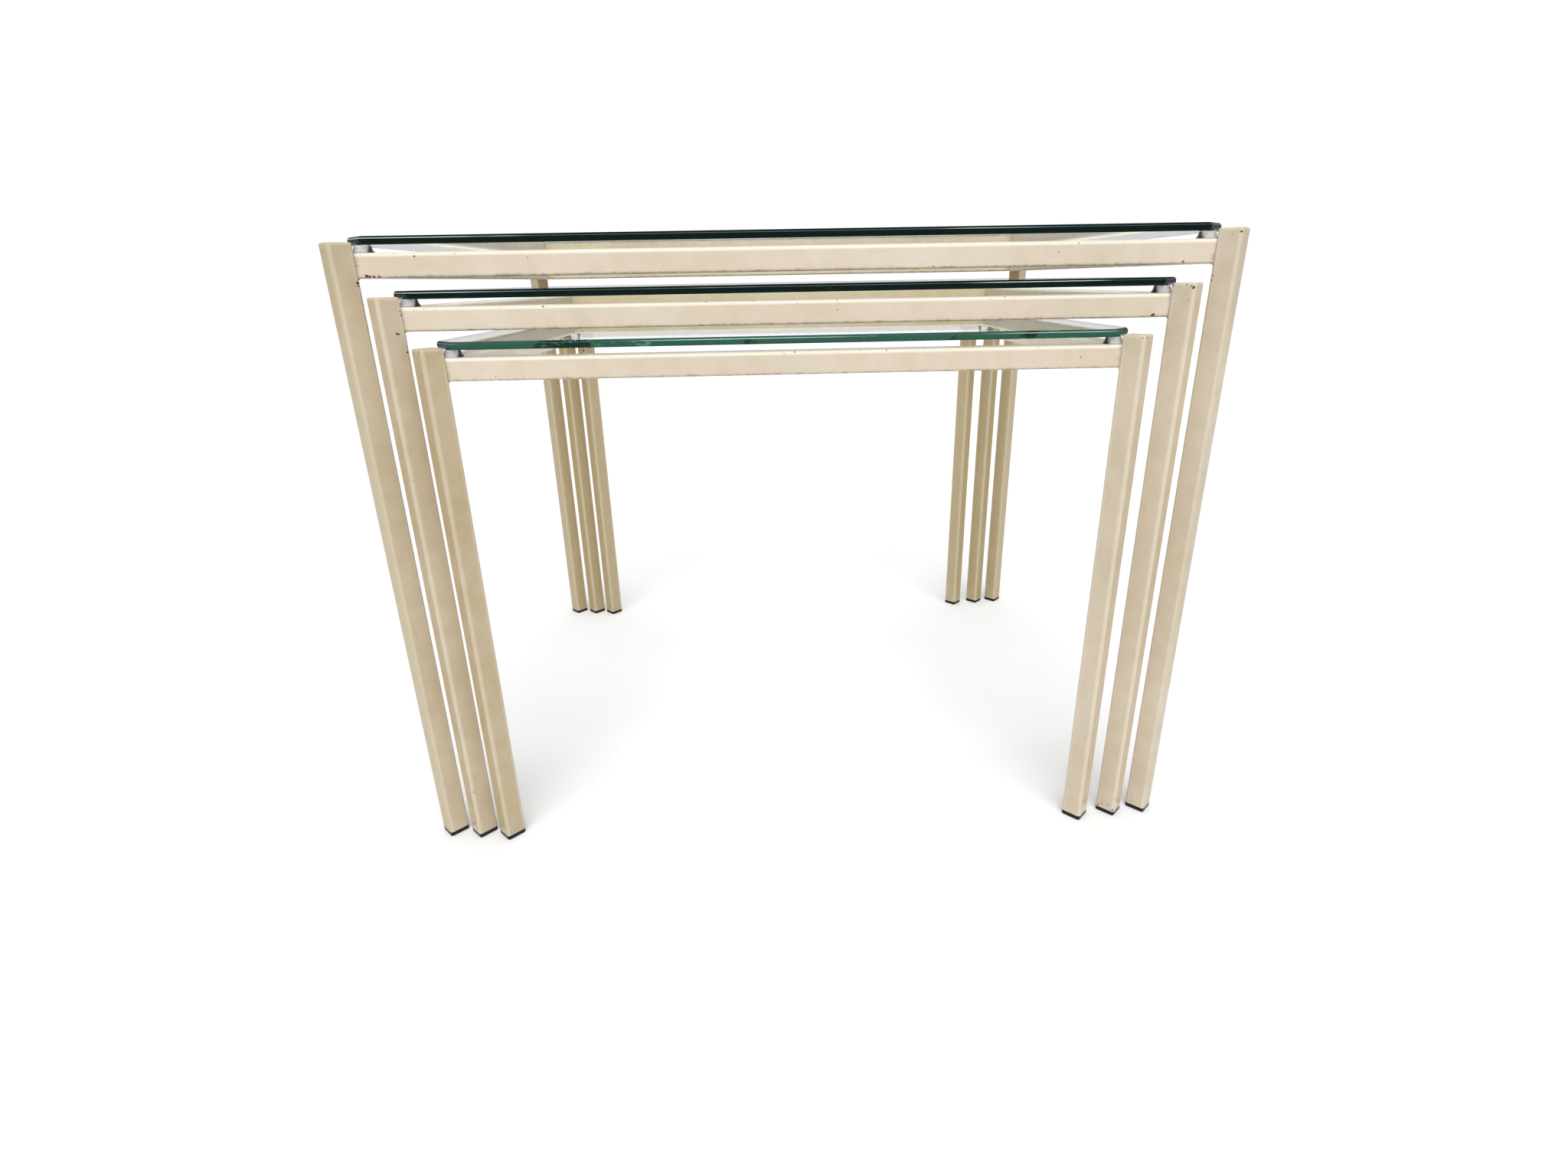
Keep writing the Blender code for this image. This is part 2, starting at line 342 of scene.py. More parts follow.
def sheet_material(finish):
    """Clear float glass with faint smears. Lamps shine through it onto what is under a top."""
    s = Shader("clear_glass")
    smears = s.spread(s.noise(16, 4, 0.6), 0.52, 0.80, 0.0, 0.028)
    s.set(s.surface, Base_Color=opaque(finish.glass), Roughness=smears, IOR=1.52)
    s.set(s.surface, Transmission_Weight=1.0)
    lamp = s.add("LightPath").outputs["Is Shadow Ray"]
    through = s.add("BsdfTransparent", Color=(0.990, 0.995, 0.993, 1.0))
    pane = s.add("MixShader")
    s.feed(pane.inputs[0], lamp)
    s.feed(pane.inputs[1], s.surface.outputs[0])
    s.feed(pane.inputs[2], through.outputs[0])
    s.set(s.output, Surface=pane.outputs[0])
    return s.material


def edge_material(name, colour, painted_glints_and_shade):
    """The polished edge of a top, painted deep green to stand in for light that has come a long way
    through the glass.

    The last argument is how much painted glints and painted shade run along the edge.
    """
    s = Shader(name)
    # Painted glints and painted shade: pale flashes and dark runs along the edge.
    painted_glints = s.spread(s.noise(95, 5, 0.75, s.place(scale=(1, 1, 2.0))), 0.57, 0.60)
    gleams = s.spread(s.noise(13, 2, 0.5, s.place(location=(0.6, 0, 0))), 0.44, 0.62)
    painted_glints = s.math("MULTIPLY", painted_glints, gleams)
    stretches = s.spread(s.noise(16, 3, 0.6, s.place(location=(0.2, 0, 0))), 0.385, 0.405)
    painted_glint_colour = tuple(min(1.0, part * (1 + 2.6 * painted_glints_and_shade)) for part in colour)
    dark = tuple(part * (1 - 0.92 * painted_glints_and_shade) for part in colour)
    body = s.mix(stretches, opaque(dark), opaque(colour))
    body = s.mix(painted_glints, body, opaque(painted_glint_colour))
    s.set(s.surface, Base_Color=body, Roughness=0.10, IOR=1.52)
    s.set(s.surface, Specular_IOR_Level=0.05)
    return s.material


def ground_line_and_highlight_material(finish):
    """The line where the wheel has ground the arris, matt and pale in stretches: partly its frosted
    grind, partly a painted highlight.
    """
    s = Shader("ground_glass_line_and_highlight")
    matt = s.spread(s.noise(6, 3, 0.5), 0.46, 0.58)
    # Partly painted highlight: the pale stretches stand in for light caught by the ground rim.
    pale = (0.42, 0.50, 0.48, 1.0)
    colour = s.mix(matt, opaque(finish.edge_painted_dark), pale)
    s.set(s.surface, Base_Color=colour, Roughness=0.35, IOR=1.52)
    return s.material


def plastic_material(finish):
    """Black moulded plastic, scuffed pale on the sole."""
    s = Shader("black_plastic")
    scuffs = s.spread(s.noise(420, 4, 0.7), 0.60, 0.80)
    grey = tuple(min(1.0, part * 6.0) for part in finish.plastic)
    colour = s.mix(scuffs, opaque(finish.plastic), opaque(grey))
    grain = s.noise(2600, 2, 0.5)
    bump = s.add("Bump", Height=grain, Strength=0.25, Distance=0.06 * MM)
    rough = s.spread(scuffs, 0.0, 1.0, 0.38, 0.62)
    s.set(s.surface, Base_Color=colour, Roughness=rough, Normal=bump.outputs["Normal"])
    s.set(s.surface, Specular_IOR_Level=0.3)
    return s.material


def pad_material(finish):
    """Clear soft plastic, a little cloudy, with painted shade on the side that faces the table's
    middle.
    """
    s = Shader("clear_pad")
    cloud = s.spread(s.noise(300, 2, 0.5), 0.35, 0.75, 0.30, 0.42)
    bump = s.add("Bump", Height=s.noise(600, 1, 0.5), Strength=0.15, Distance=0.03 * MM)
    rim = s.add("Attribute", {"attribute_name": "painted_shade_rim"}).outputs["Fac"]
    milky, dark = (0.80, 0.80, 0.82), (0.008, 0.007, 0.008)
    colour = s.mix(rim, opaque(milky), opaque(dark))
    s.set(s.surface, Base_Color=colour, Roughness=cloud, IOR=1.42)
    s.set(s.surface, Transmission_Weight=0.55, Normal=bump.outputs["Normal"])
    return s.material


def floor_material():
    """A plain white floor with the faintest unevenness."""
    s = Shader("white_floor")
    tone = s.spread(s.noise(3, 2, 0.5), 0.3, 0.7)
    colour = s.mix(tone, (0.93, 0.93, 0.93, 1.0), (0.95, 0.95, 0.95, 1.0))
    s.set(s.surface, Base_Color=colour, Roughness=0.9, Specular_IOR_Level=0.0)
    return s.material


def shared(name, make, *values):
    """The material of that name, made once."""
    return bpy.data.materials.get(name) or make(*values)


# ---- mesh work -------------------------------------------------------------------------------


def box_mesh(size, centre=(0, 0, 0)):
    """A new bmesh holding one box."""
    bm = bmesh.new()
    matrix = Matrix.Translation(centre) @ Matrix.Diagonal((*size, 1.0))
    bmesh.ops.create_cube(bm, size=1.0, matrix=matrix)
    bm.normal_update()
    return bm


def bevel(bm, edges, width, segments):
    """Rounds or, with one segment, chamfers the edges."""
    bmesh.ops.bevel(
        bm, geom=list(edges), offset=width, offset_type="OFFSET", affect="EDGES",
        segments=segments, profile=0.5, material=-1, clamp_overlap=True)
    bm.normal_update()


def edges_along(bm, axis):
    """The edges that run along one axis: 0, 1 or 2."""
    def runs(edge):
        way = (edge.verts[1].co - edge.verts[0].co).normalized()
        return abs(way[axis]) > 0.999

    return [edge for edge in bm.edges if runs(edge)]


def rim_edges(bm, axis, place):
    """The edges of the flat end that lies at place along axis."""
    return [
        edge for edge in bm.edges
        if len(edge.link_faces) == 2
        and all(abs(vert.co[axis] - place) < TINY for vert in edge.verts)
        and any(abs(face.normal[axis]) < 0.5 for face in edge.link_faces)
    ]


def facing(bm, way):
    """The face that looks most nearly along way."""
    return max(bm.faces, key=lambda face: face.normal.dot(Vector(way)))


def cut(bm, point, way, keep_below=False):
    """A loop round the mesh in a plane, or the mesh kept below it with the cut closed."""
    geometry = bm.verts[:] + bm.edges[:] + bm.faces[:]
    made = bmesh.ops.bisect_plane(
        bm, geom=geometry, dist=1e-7, plane_co=point, plane_no=way, clear_outer=keep_below)
    if keep_below:
        rim = [part for part in made["geom_cut"] if isinstance(part, bmesh.types.BMEdge)]
        bmesh.ops.edgeloop_fill(bm, edges=rim)
    bm.normal_update()


def turn_upright(bm, angle):
    """Turns the mesh about the vertical through the origin."""
    matrix = Matrix.Rotation(angle, 3, "Z")
    bmesh.ops.rotate(bm, verts=bm.verts, cent=(0, 0, 0), matrix=matrix)


def loops_beside_corners(bm, axes, shape):
    """Loops on the tube's flats, where the painted highlight and chips of a rounded edge have faded
    out.
    """
    inset = TUBE / 2 - shape.corner - shape.rim
    for axis in axes:
        for side in (-1, 1):
            way = [0.0, 0.0, 0.0]
            way[axis] = 1.0
            cut(bm, [side * inset * part for part in way], way)


def fade(distance, reach):
    """1 at no distance, 0 from reach on."""
    return max(0.0, min(1.0, 1.0 - distance / reach))


def store_wear(bm, measure):
    """Keeps measure(place) on each vertex: edge highlight and chips, weld grime and painted shade,
    splash, and yellowing with painted shade.
    """
    layer = bm.verts.layers.float_color.new("wear_and_painted_light")
    for vert in bm.verts:
        vert[layer] = measure(vert.co)


def finish_piece(name, bm, table, materials, replaces=None):
    """Makes the object, its flats kept flat between rounded edges, and gives it to its table."""
    mesh = bpy.data.meshes.new(name)
    bm.to_mesh(mesh)
    bm.free()
    mesh.shade_smooth()
    mesh.set_sharp_from_angle(angle=SHARP_ANGLE)
    for material in materials:
        mesh.materials.append(material)
    piece = bpy.data.objects.new(name, mesh)
    bpy.context.scene.collection.objects.link(piece)
    weighted = piece.modifiers.new("flat_faces", "WEIGHTED_NORMAL")
    weighted.mode = "FACE_AREA"
    weighted.weight = 80
    weighted.keep_sharp = True
    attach(piece, table + "_table")
    if replaces:
        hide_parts(replaces)
    return piece


def middle(node):
    """The middle of a CAD node's box."""
    low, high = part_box(node)
    return (low + high) / 2


def leg_points(table, corner):
    """The leg's axis on the floor, and the heights of its bottom and top."""
    low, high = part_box(f"{table}_leg_{corner}")
    return Vector(((low.x + high.x) / 2, (low.y + high.y) / 2, 0.0)), low.z, high.z


def rail_heights(table):
    """The heights of a table's rails: bottom and top."""
    low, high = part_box(table + "_front_rail")
    return low.z, high.z


# ---- operators -------------------------------------------------------------------------------


class NEST_OT_legs(bpy.types.Operator):
    """Builds the legs: capped square tubes turned 45 degrees"""

    bl_idname = "nest.legs"
    bl_label = "Legs"

    def execute(self, context):
        shape, finish = context.scene.nest_shape, context.scene.nest_finish
        for table in TABLES:
            for corner in CORNERS:
                self.add_leg(table, corner, shape, finish)
        return {"FINISHED"}

    def add_leg(self, table, corner, shape, finish):
        """The leg is made square to the axes, hollowed from below, then turned 45 degrees."""
        axis, bottom, top = leg_points(table, corner)
        bottom -= CAD_GAP * 0.9  # It reaches down to the foot, all but a hair.
        rail_low, rail_high = rail_heights(table)
        half = TUBE / 2
        # The yellowing values also paint shade on legs and outer faces that stand in less light.
        age_and_shade, outer_age_and_shade = LEG_AGES_AND_SHADE[table, corner]
        # How strongly the rounded edges and the top rim get the painted highlight and chips.
        edge_highlight_and_wear = 0.25
        dirt_under_rails = 0.12
        bm = box_mesh((TUBE, TUBE, top - bottom), (0, 0, (top + bottom) / 2))
        bevel(bm, edges_along(bm, 2), shape.corner, 4)
        bevel(bm, rim_edges(bm, 2, top), shape.cap_round, 3)

        mouth = facing(bm, (0, 0, -1))
        bmesh.ops.inset_region(bm, faces=[mouth], thickness=shape.wall, use_even_offset=True)
        bore = bmesh.ops.extrude_face_region(bm, geom=[mouth])["geom"]
        bmesh.ops.delete(bm, geom=[mouth], context="FACES_ONLY")
        bore = [part for part in bore if isinstance(part, bmesh.types.BMVert)]
        bmesh.ops.translate(bm, verts=bore, vec=(0, 0, top - bottom - shape.wall))

        loops_beside_corners(bm, (0, 1), shape)
        heights = (
            bottom + shape.rim,
            bottom + shape.splash / 2,
            bottom + shape.splash,
            rail_low - shape.joint_reach,
            rail_low,
            rail_high,
            top - shape.cap_round - shape.rim,
        )
        for height in heights:
            cut(bm, (0, 0, height), (0, 0, 1))

        def measure(place):
            beside = max(half - abs(place.x), half - abs(place.y))
            rounded = beside < shape.corner + TINY or place.z > top - shape.cap_round - TINY
            off_rails = max(rail_low - place.z, 0.0)
            outer = max(-place.x, place.y) if "left" in corner else max(place.x, -place.y)
            on_outer = outer > half - shape.corner * 0.3
            # Red: painted highlight and chips; green: grime below the rails; blue: splash; alpha:
            # yellowing, raised as painted shade on outer faces.
            return (
                edge_highlight_and_wear if rounded or place.z < bottom + TINY else 0.0,
                dirt_under_rails * fade(off_rails, shape.joint_reach),
                fade(place.z - bottom, shape.splash),
                age_and_shade + outer_age_and_shade if on_outer else age_and_shade,
            )

        store_wear(bm, measure)
        turn_upright(bm, math.pi / 4)
        bmesh.ops.translate(bm, verts=bm.verts, vec=axis)
        paint = shared("cream_paint", paint_material, finish)
        name = f"{table}_leg_{corner}"
        finish_piece(name + "_painted", bm, table, [paint], name)


class NEST_OT_rails(bpy.types.Operator):
    """Builds the rails: square tubes whose pointed ends meet the leg and the next rail"""

    bl_idname = "nest.rails"
    bl_label = "Rails"

    def execute(self, context):
        shape, finish = context.scene.nest_shape, context.scene.nest_finish
        for table in TABLES:
            for turns, side in enumerate(SIDES):
                self.add_rail(table, side, turns, shape, finish)
        return {"FINISHED"}

    def add_rail(self, table, side, turns, shape, finish):
        """The rail is made as the front one, about the table's middle, then turned into place."""
        left, _, _ = leg_points(table, "front_left")
        right, _, _ = leg_points(table, "front_right")
        back, _, _ = leg_points(table, "back_left")
        span, depth = right.x - left.x, back.y - left.y
        if side in ("left", "right"):
            span, depth = depth, span
        low, high = rail_heights(table)
        half = TUBE / 2
        # The back rail's higher yellowing is painted shade under the glass.
        age_and_shade, edge_highlight_and_wear = RAIL_AGES_AND_SHADE[side]
        into_leg = 0.5 * MM
        mitre_gap = 0.03 * MM
        crevice_dirt, crevice_width = 0.62, 0.6 * MM
        joint_dirt = 0.36
        under_reach = 2.6 * MM
        under_flat = 0.35  # The underside's flat keeps this much of the painted shade on its corners.
        bm = box_mesh((span + TUBE, TUBE, TUBE))
        bevel(bm, edges_along(bm, 0), shape.corner, 4)
        for hand in (-1, 1):
            tip = hand * span / 2
            cut(bm, (tip - hand * (half * math.sqrt(2) - into_leg), -half, 0), (hand, -1, 0), True)
            cut(bm, (tip - hand * (half + mitre_gap), 0, 0), (hand, 1, 0), True)
        loops_beside_corners(bm, (1, 2), shape)
        crevice = half * math.sqrt(2)
        for reach in (crevice + 0.5 * MM, crevice + 1.6 * MM, crevice + shape.joint_reach):
            for hand in (-1, 1):
                cut(bm, (hand * (span / 2 - reach), 0, 0), (1, 0, 0))

        def measure(place):
            beside = max(half - abs(place.y), half - abs(place.z))
            from_leg = span / 2 - crevice - abs(place.x)
            joint = joint_dirt * fade(from_leg, shape.joint_reach)
            if from_leg < crevice_width:
                joint = crevice_dirt
            # Painted shade: the rail is darkened along its lower edge, standing in for the shade
            # beneath it.
            under = fade(place.z + half, under_reach)
            if abs(place.y) < half - shape.corner - TINY:
                under *= under_flat
            # Red: painted highlight and chips on the upper rounded edges; green: grime near the
            # leg, and painted shade along the lower edge.
            return (
                edge_highlight_and_wear if beside < shape.corner + TINY and place.z > 0 else 0.0,
                max(joint, under),
                0.0,
                age_and_shade,
            )

        store_wear(bm, measure)
        middle_of_table = (right + back) / 2
        bmesh.ops.translate(bm, verts=bm.verts, vec=(0, half - depth / 2, (low + high) / 2))
        turn_upright(bm, turns * math.pi / 2)
        bmesh.ops.translate(bm, verts=bm.verts, vec=(middle_of_table.x, middle_of_table.y, 0))
        paint = shared("cream_paint", paint_material, finish)
        name = f"{table}_{side}_rail"
        finish_piece(name + "_painted", bm, table, [paint], name)


class NEST_OT_glides(bpy.types.Operator):
    """Builds the glides: black plastic feet with a finned plug"""

    bl_idname = "nest.glides"
    bl_label = "Glides"

    def execute(self, context):
        shape, finish = context.scene.nest_shape, context.scene.nest_finish
        for table in TABLES:
            for corner in CORNERS:
                self.add_glide(table, corner, shape, finish)
        return {"FINISHED"}

    def add_glide(self, table, corner, shape, finish):
        """A foot as wide as the tube, then a plug grown up from it fin by fin."""
        axis, leg_bottom, _ = leg_points(table, corner)
        foot = leg_bottom - CAD_GAP
        plug_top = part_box(f"{table}_glide_{corner}")[1].z
        bm = box_mesh((TUBE, TUBE, foot), (0, 0, foot / 2))
        bevel(bm, edges_along(bm, 2), shape.corner, 5)
        bevel(bm, rim_edges(bm, 2, 0.0), shape.sole_round, 4)

        top = facing(bm, (0, 0, 1))
        core_inset = shape.wall + 0.5 * MM
        fin_inset = shape.wall + 0.2 * MM
        bmesh.ops.inset_region(bm, faces=[top], thickness=core_inset, use_even_offset=True)
        bm.normal_update()
        fins = 3
        stages = 2 * fins + 1
        step = (plug_top - foot) / stages
        flare = (TUBE / 2 - fin_inset) / (TUBE / 2 - core_inset)
        for stage in range(stages):
            grown = bmesh.ops.extrude_face_region(bm, geom=[top])["geom"]
            bmesh.ops.delete(bm, geom=[top], context="FACES_ONLY")
            verts = [part for part in grown if isinstance(part, bmesh.types.BMVert)]
            if stage:
                size = flare if stage % 2 else 1 / flare
                bmesh.ops.scale(bm, verts=verts, vec=(size, size, 1))
            bmesh.ops.translate(bm, verts=verts, vec=(0, 0, step))
            top = max(bm.faces, key=lambda face: face.calc_center_median().z)
        bmesh.ops.recalc_face_normals(bm, faces=bm.faces)
        turn_upright(bm, math.pi / 4)
        bmesh.ops.translate(bm, verts=bm.verts, vec=axis)
        plastic = shared("black_plastic", plastic_material, finish)
        name = f"{table}_glide_{corner}"
        finish_piece(name + "_moulded", bm, table, [plastic], name)


class NEST_OT_pads(bpy.types.Operator):
    """Builds the clear pads that the glass rests on"""

    bl_idname = "nest.pads"
    bl_label = "Pads"

    def execute(self, context):
        finish = context.scene.nest_finish
        for table in TABLES:
            for corner in CORNERS:
                self.add_pad(table, corner, finish)
        return {"FINISHED"}

    def add_pad(self, table, corner, finish):
        """A turned profile: a foot ring, a hollow side and a rounded rim with a dished top."""
        name = f"{table}_pad_{corner}"
        low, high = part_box(name)
        hair = 0.02 * MM  # left under the glass and above the rail
        bottom, top = low.z - CAD_GAP + hair, high.z + CAD_GAP - hair
        base, height = (high.x - low.x) / 2, top - bottom
        rim = base * 0.77
        profile = [
            (0.0, 0.0),
            (base * 0.94, 0.0),
            (base, height * 0.05),
            (base * 0.98, height * 0.14),
            (base * 0.86, height * 0.40),
            (rim * 1.03, height * 0.78),
            (rim, height * 0.93),
            (rim * 0.94, height),
            (rim * 0.60, height * 0.985),
            (0.0, height * 0.975),
        ]
        bm = bmesh.new()
        verts = [bm.verts.new((radius, 0.0, level)) for radius, level in profile]
        edges = [bm.edges.new(pair) for pair in zip(verts, verts[1:])]
        bmesh.ops.spin(
            bm, geom=verts + edges, axis=(0, 0, 1), cent=(0, 0, 0), angle=2 * math.pi,
            steps=40, use_merge=True)
        bmesh.ops.remove_doubles(bm, verts=bm.verts, dist=TINY)
        bmesh.ops.recalc_face_normals(bm, faces=bm.faces)
        # Painted shade: the side facing the table's middle is darkened, standing in for the dark
        # edge its refraction shows.
        inward = 1.0 if "left" in corner else -1.0
        rim_starts, rim_fades = 0.74, 0.10  # as shares of the radius
        rim_layer = bm.verts.layers.float.new("painted_shade_rim")
        for vert in bm.verts:
            facing_in = vert.co.x * inward / base
            vert[rim_layer] = fade(max(0.0, rim_starts - facing_in), rim_fades)
        place = middle(name)
        bmesh.ops.translate(bm, verts=bm.verts, vec=(place.x, place.y, bottom))
        clear = shared("clear_pad", pad_material, finish)
        finish_piece(name + "_moulded", bm, table, [clear], name)


class NEST_OT_glass_tops(bpy.types.Operator):
    """Builds the glass tops: clipped corners, ground arrises and polished edges"""

    bl_idname = "nest.glass_tops"
    bl_label = "Glass Tops"

    def execute(self, context):
        shape, finish = context.scene.nest_shape, context.scene.nest_finish
        for table in TABLES:
            self.add_top(table, shape, finish)
        return {"FINISHED"}

    def add_top(self, table, shape, finish):
        """A sheet whose corners are clipped and softened, then its two rims ground."""
        name = table + "_glass_top"
        low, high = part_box(name)
        size = high - low
        half_thick = size.z / 2
        softened = 1.6 * MM
        bm = box_mesh(size)
        bevel(bm, edges_along(bm, 2), shape.clip, 1)
        bevel(bm, edges_along(bm, 2), softened, 4)
        for side in (-1, 1):
            bevel(bm, rim_edges(bm, 2, side * half_thick), shape.arris, 1)
        line_at = half_thick - shape.arris
        lines = [
            edge for edge in bm.edges
            if all(abs(vert.co.z - line_at) < 10 * TINY for vert in edge.verts)
        ]
        bevel(bm, lines, shape.ground_line, 1)

        sheet, polished, ground = range(3)
        for face in bm.faces:
            level = face.calc_center_median().z
            if abs(face.normal.z) > 0.99:
                face.material_index = sheet
            elif abs(level - line_at) < shape.ground_line:
                face.material_index = ground
            else:
                face.material_index = polished
        bmesh.ops.translate(bm, verts=bm.verts, vec=middle(name))
        # Painted light: the same glass gets a darker edge colour on the two larger tops and a
        # lighter one on the small top.
        tint, colour, painted_glints_and_shade = "deep_glass_edge", finish.edge_painted_dark, 0.35
        if table == "small":
            tint, colour, painted_glints_and_shade = "light_glass_edge", finish.edge_painted_lit, 0.75
        materials = [
            shared("clear_glass", sheet_material, finish),
            shared(tint, edge_material, tint, colour, painted_glints_and_shade),
            shared("ground_glass_line_and_highlight", ground_line_and_highlight_material, finish),
        ]
        finish_piece(name + "_glazed", bm, table, materials, name)


class NEST_OT_welds(bpy.types.Operator):
    """Builds the weld beads under the rails, against each leg"""

    bl_idname = "nest.welds"
    bl_label = "Weld Beads"

    def execute(self, context):
        shape, finish = context.scene.nest_shape, context.scene.nest_finish
        for table in TABLES:
            for number, corner in enumerate(CORNERS):
                self.add_bead(table, corner, number, shape, finish)
        return {"FINISHED"}

    def add_bead(self, table, corner, number, shape, finish):
        """A lumpy bead along the foot of the leg's inward face, below both rails."""
        axis, _, _ = leg_points(table, corner)
        low, _ = rail_heights(table)
        inward_x = 1.0 if "left" in corner else -1.0
        inward_y = 1.0 if "front" in corner else -1.0
        inward = Vector((inward_x, inward_y, 0.0)).normalized()
        length = TUBE - 2 * shape.corner
        bm = bmesh.new()
        bmesh.ops.create_cone(
            bm, cap_ends=True, segments=12, radius1=shape.weld, radius2=shape.weld, depth=length,
            matrix=Matrix.Rotation(math.pi / 2, 4, "Y"))
        ripples = 13
        for step in range(1, ripples):
            cut(bm, (length * (step / ripples - 0.5), 0, 0), (1, 0, 0))
        dice = random.Random(number + 10 * TABLES.index(table))
        swell = {}
        for vert in bm.verts:
            station = round(vert.co.x, 6)
            end = 1.0 - (abs(vert.co.x) / (length / 2)) ** 6 * 0.55
            swell.setdefault(station, dice.uniform(0.86, 1.14) * end)
            vert.co.y *= swell[station]
            vert.co.z *= swell[station]
        # The bead gets the painted highlight and chips, grime, no splash, and yellowing.
        edge_highlight_and_wear, grime_and_shade, splash, age_and_shade = 0.5, 0.95, 0.0, 0.41
        store_wear(bm, lambda place: (edge_highlight_and_wear, grime_and_shade, splash, age_and_shade))
        turn_upright(bm, math.atan2(inward.y, inward.x) + math.pi / 2)
        place = axis + inward * (TUBE / 2 + shape.weld * 0.25)
        place.z = low - shape.weld * 0.10
        bmesh.ops.translate(bm, verts=bm.verts, vec=place)
        paint = shared("cream_paint", paint_material, finish)
        finish_piece(f"{table}_weld_{corner}", bm, table, [paint])


# Where paint has come off a leg, in millimetres: table, corner, face, distance along the face
# from the leg's front edge, height, radius. A height below 0 is measured from the leg's top. The
# face is the one that looks to the left or to the right as well as to the front.
LEG_MARKS = (
    ("large", "front_right", "left", 1.1, -2.8, 0.8),
    ("large", "front_right", "left", 6.2, -4.1, 0.5),
    ("large", "front_right", "left", 13.4, -28.0, 0.4),
    ("large", "front_right", "left", 13.6, -31.0, 0.4),
    ("large", "front_right", "left", 10.6, 12.9, 0.5),
    ("medium", "front_right", "left", 3.2, -10.3, 0.5),
    ("medium", "front_right", "left", 1.3, -3.0, 1.0),
    ("medium", "front_right", "left", 2.7, -2.2, 0.6),
    ("medium", "front_right", "left", 5.6, -1.3, 0.5),
    ("medium", "front_right", "left", 13.6, -1.4, 0.5),
    ("medium", "front_right", "left", 5.1, 8.7, 0.6),
    ("medium", "front_right", "left", 10.0, 7.8, 0.6),
    ("medium", "front_right", "left", 12.6, 5.4, 0.8),
    ("medium", "front_right", "left", 1.0, 5.6, 0.9),
    ("medium", "front_right", "left", 1.0, 16.8, 0.4),
    ("medium", "front_right", "right", 12.8, 54.9, 0.6),
    ("small", "front_right", "right", 2.4, -1.6, 0.8),
    ("small", "front_right", "left", 1.8, -1.6, 0.5),
    ("small", "front_right", "right", 4.2, 51.7, 0.6),
    ("small", "front_right", "right", 2.7, 17.2, 0.6),
    ("large", "front_left", "right", 8.6, 12.9, 0.6),
    ("large", "front_left", "right", 13.6, -23.4, 1.0),
    ("large", "front_left", "right", 13.4, -25.2, 0.6),
    ("medium", "front_left", "right", 9.0, -21.8, 0.9),
    ("medium", "front_left", "right", 10.4, -22.1, 0.6),
    ("medium", "front_left", "right", 13.3, -8.6, 0.5),
    ("medium", "front_left", "right", 13.8, -10.9, 0.6),
    ("medium", "front_left", "right", 13.4, -33.2, 0.7),
    ("medium", "front_left", "left", 3.6, 49.7, 0.9),
    ("medium", "front_left", "right", 3.4, 40.6, 0.5),
    ("medium", "front_left", "right", 1.4, 43.4, 0.5),
    ("small", "front_left", "left", 2.2, -1.6, 0.7),
    ("small", "front_left", "left", 2.0, 11.2, 0.9),
    ("small", "back_left", "left", 1.2, -37.0, 1.4),
)
# The same on a front rail: table, distance to the right of its middle, height above its middle,
# radius.
RAIL_MARKS = (
    ("large", -233.2, 5.0, 0.6),
    ("large", -164.0, 3.2, 0.4),
    ("large", 169.3, 0.9, 0.5),
    ("large", 250.2, -6.0, 0.6),
    ("large", -264.6, -6.3, 1.0),
    ("large", -262.6, -6.5, 0.7),
    ("large", -260.2, -6.4, 0.9),
    ("large", -257.2, -6.6, 0.8),
    ("large", 90.0, -6.2, 0.4),
    ("medium", -156.4, 6.2, 0.5),
    ("medium", 235.1, -5.7, 1.0),
    ("medium", 30.0, 1.0, 0.4),
    ("small", 192.2, 0.0, 0.5),
    ("small", -188.0, -4.8, 0.4),
)


